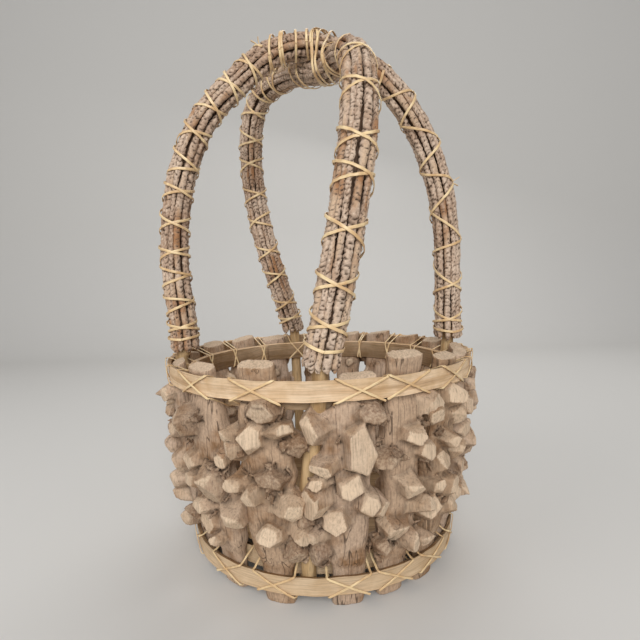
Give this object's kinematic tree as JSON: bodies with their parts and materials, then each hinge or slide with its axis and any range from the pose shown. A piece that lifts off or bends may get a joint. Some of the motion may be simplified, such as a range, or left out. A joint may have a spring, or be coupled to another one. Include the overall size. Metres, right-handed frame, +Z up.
{
  "type": "twig foraging basket",
  "caption": "Round basket of knobbly wooden stakes held between split wood hoops, with a board floor and two crossing twig-bundle handles bound in cane.",
  "frame": {"origin": "on the ground under the middle of the basket", "axes": "+Z up, -Y towards the front, where the leaning handle leg stands, +X to the right"},
  "size_m": [0.2951, 0.2916, 0.4756],
  "materials": {
    "split_wood": "split, pale, lengthwise grain",
    "stake_wood": "weathered, gnarled, sawn stubs",
    "core_wood": "peeled stick",
    "twig_bark": "rough ringed bark",
    "cane": "split cane, satin",
    "floor_wood": "rough sawn board"
  },
  "bodies": {
    "root": {"base_hoop_inner": "split_wood", "base_hoop_outer": "split_wood", "base_lashing_a": "cane", "base_lashing_b": "cane", "crown_lashing": "cane", "floor_board": "floor_wood", "front_leg_lashing": "cane", "handle_a_core": "core_wood", "handle_a_twig_1": "twig_bark", "handle_a_twig_2": "twig_bark", "handle_a_twig_3": "twig_bark", "handle_a_twig_4": "twig_bark", "handle_a_twig_5": "twig_bark", "handle_a_twig_6": "twig_bark", "handle_a_twig_7": "twig_bark", "handle_a_twig_8": "twig_bark", "handle_b_core": "core_wood", "handle_b_twig_1": "twig_bark", "handle_b_twig_2": "twig_bark", "handle_b_twig_3": "twig_bark", "handle_b_twig_4": "twig_bark", "handle_b_twig_5": "twig_bark", "handle_b_twig_6": "twig_bark", "handle_b_twig_7": "twig_bark", "handle_b_twig_8": "twig_bark", "left_leg_lashing": "cane", "rear_leg_lashing": "cane", "right_leg_lashing": "cane", "rim_hoop_inner": "split_wood", "rim_hoop_outer": "split_wood", "rim_lashing_a": "cane", "rim_lashing_b": "cane", "stake_01": "stake_wood", "stake_02": "stake_wood", "stake_03": "stake_wood", "stake_04": "stake_wood", "stake_05": "stake_wood", "stake_06": "stake_wood", "stake_07": "stake_wood", "stake_08": "stake_wood", "stake_09": "stake_wood", "stake_10": "stake_wood", "stake_11": "stake_wood", "stake_12": "stake_wood", "stake_13": "stake_wood", "stake_14": "stake_wood", "stake_15": "stake_wood", "stake_16": "stake_wood", "stake_17": "stake_wood"}
  },
  "joints": []
}
